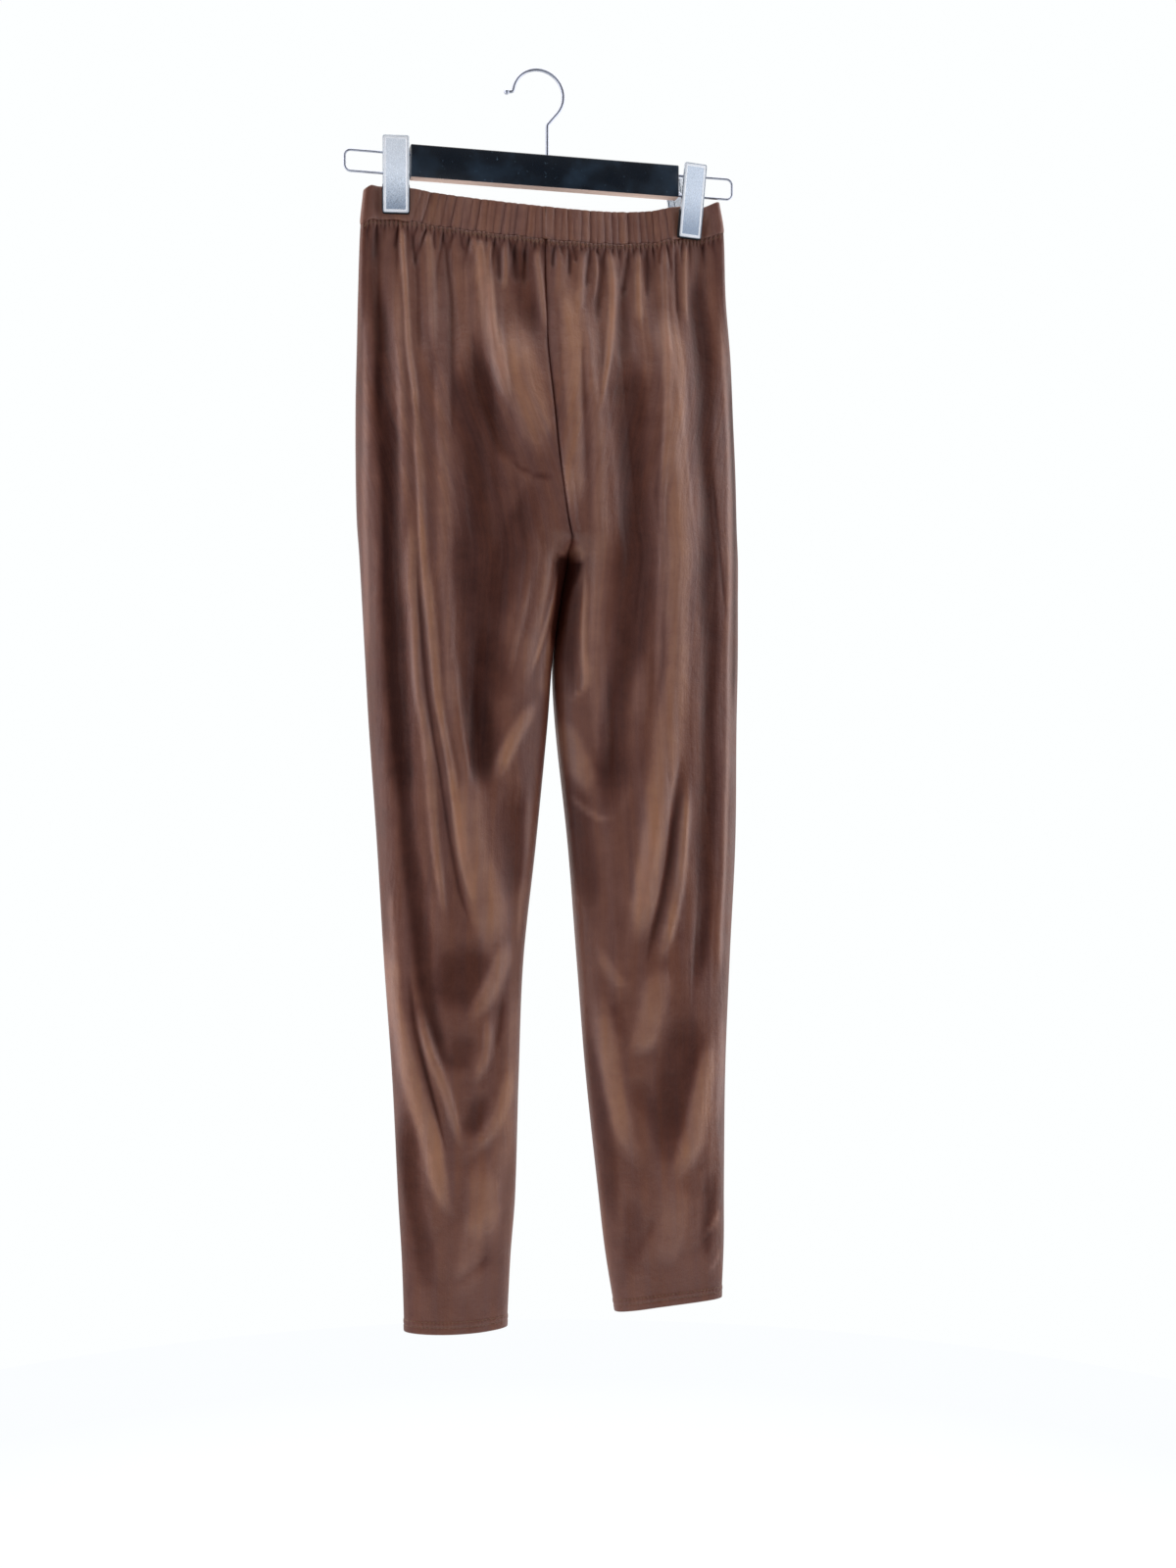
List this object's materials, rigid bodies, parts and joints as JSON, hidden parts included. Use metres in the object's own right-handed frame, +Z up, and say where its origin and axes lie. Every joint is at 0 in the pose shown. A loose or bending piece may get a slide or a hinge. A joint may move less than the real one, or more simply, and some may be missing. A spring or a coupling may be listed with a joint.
{
  "type": "leggings on a clip hanger",
  "caption": "Full-length leggings in shiny stretch cloth, with a gathered elastic waistband, hung by spring clips from a wire-hooked hanger bar.",
  "frame": {"origin": "the inner crown of the hanger's hook, where a rail or peg holds it", "axes": "+Z up, +X along the hanger bar to the wearer's left, -Y towards the front of the leggings"},
  "size_m": [0.3457, 0.0846, 1.0787],
  "materials": {
    "cloth": "brown stretch knit with a coated, half-shiny face",
    "bar_paint": "glossy black lacquer on wood",
    "wire": "bright nickel-plated steel wire",
    "clip_plate": "satin nickel-plated steel, brushed lengthways",
    "clip_pad": "matte black rubber"
  },
  "bodies": {
    "root": {"front_left": "cloth", "front_right": "cloth", "back_left": "cloth", "back_right": "cloth", "waistband_front_left": "cloth", "waistband_front_right": "cloth", "waistband_back_left": "cloth", "waistband_back_right": "cloth", "bar": "bar_paint", "hook": "wire", "rail": "wire", "clip_left_front_plate": "clip_plate", "clip_left_back_plate": "clip_plate", "clip_left_front_pad": "clip_pad", "clip_left_back_pad": "clip_pad", "clip_left_spring": "wire", "clip_right_front_plate": "clip_plate", "clip_right_back_plate": "clip_plate", "clip_right_front_pad": "clip_pad", "clip_right_back_pad": "clip_pad", "clip_right_spring": "wire"}
  },
  "joints": []
}
